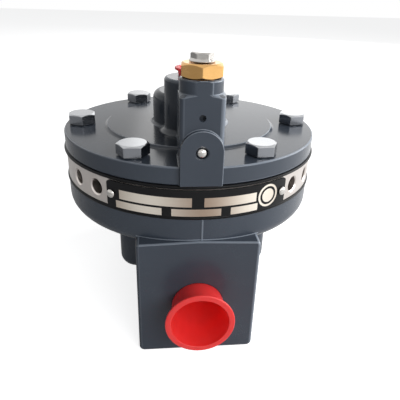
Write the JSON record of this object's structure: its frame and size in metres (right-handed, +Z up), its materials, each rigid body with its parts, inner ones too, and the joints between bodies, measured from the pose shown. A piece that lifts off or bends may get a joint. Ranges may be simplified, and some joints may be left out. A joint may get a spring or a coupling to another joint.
{
  "type": "pneumatic volume booster",
  "caption": "Round twin-diaphragm air volume booster with capped ports, a vented ring between two casings and a bypass needle on a tower.",
  "frame": {"origin": "On the axis of the round casings, in the plane of the flat base under the port block", "axes": "+Z up along the axis of the casings, -Y out of the output port at the front, +Y out of the supply port, +X to the right seen from the front"},
  "size_m": [0.13, 0.158, 0.1393],
  "materials": {
    "casting_paint": "gloss",
    "ring_aluminium": "turned",
    "black_rubber": "moulded",
    "zinc_plate": "zinc plated",
    "brass": "machined",
    "machined_steel": "machined",
    "nameplate_black": "semi-gloss",
    "spring_steel": "drawn wire",
    "cap_red": "soft moulded"
  },
  "bodies": {
    "casing": {"lower_casing": "casting_paint", "upper_casing": "casting_paint", "exhaust_ring": "ring_aluminium", "upper_diaphragm": "black_rubber", "lower_diaphragm": "black_rubber", "seat_o_ring": "black_rubber", "cap_screw_1": "zinc_plate", "cap_screw_2": "zinc_plate", "cap_screw_3": "zinc_plate", "cap_screw_4": "zinc_plate", "cap_screw_5": "zinc_plate", "cap_screw_6": "zinc_plate", "bypass_bonnet": "brass", "supply_seat": "brass", "passage_ball": "machined_steel", "drive_screw_left": "machined_steel", "drive_screw_right": "machined_steel", "nameplate": "nameplate_black", "valve_spring": "spring_steel", "bias_spring": "spring_steel"},
    "valve": {"valve_stem": "machined_steel", "supply_valve_disc": "black_rubber", "disc_retainer": "machined_steel", "exhaust_valve_plug": "black_rubber"},
    "diaphragm_assembly": {"diaphragm_hub": "ring_aluminium", "upper_diaphragm_plate": "ring_aluminium", "lower_diaphragm_plate": "ring_aluminium", "hub_nut": "zinc_plate", "exhaust_seat": "brass"},
    "bypass_seal": {"bypass_o_ring": "black_rubber"},
    "bypass_needle": {"bypass_screw": "machined_steel"},
    "output_cap": {"output_port_cap": "cap_red"},
    "supply_cap": {"supply_port_cap": "cap_red"},
    "input_cap": {"input_port_cap": "cap_red"}
  },
  "joints": [
    {"name": "supply_valve_slide", "type": "slide", "parent": "casing", "child": "valve", "axis": [0, 0, 1], "range_m": [-0.002, 0], "stiffness_N_per_m": 2000, "springref_m": 0.006, "deforming": ["valve_spring"]},
    {"name": "diaphragm_slide", "type": "slide", "parent": "valve", "child": "diaphragm_assembly", "axis": [0, 0, 1], "range_m": [0, 0.0012], "stiffness_N_per_m": 1000, "springref_m": -0.004, "deforming": ["bias_spring", "upper_diaphragm", "lower_diaphragm"]},
    {"name": "bypass_screw_lift", "type": "slide", "parent": "casing", "child": "bypass_seal", "axis": [0, 0, 1], "range_m": [0, 0.003]},
    {"name": "bypass_screw_turn", "type": "hinge", "parent": "bypass_seal", "child": "bypass_needle", "pos_m": [0, -0.0551, 0.1299], "axis": [0, 0, 1], "range_deg": [0, 1080]},
    {"name": "output_cap_pull", "type": "slide", "parent": "casing", "child": "output_cap", "axis": [0, -1, 0], "range_m": [0, 0.03]},
    {"name": "supply_cap_pull", "type": "slide", "parent": "casing", "child": "supply_cap", "axis": [0, 1, 0], "range_m": [0, 0.03]},
    {"name": "input_cap_pull", "type": "slide", "parent": "casing", "child": "input_cap", "axis": [0, 0, 1], "range_m": [0, 0.02]}
  ],
  "couplings": [
    {"joint": "bypass_screw_turn", "follows": "bypass_screw_lift", "rad_per_m": 6283.2}
  ]
}
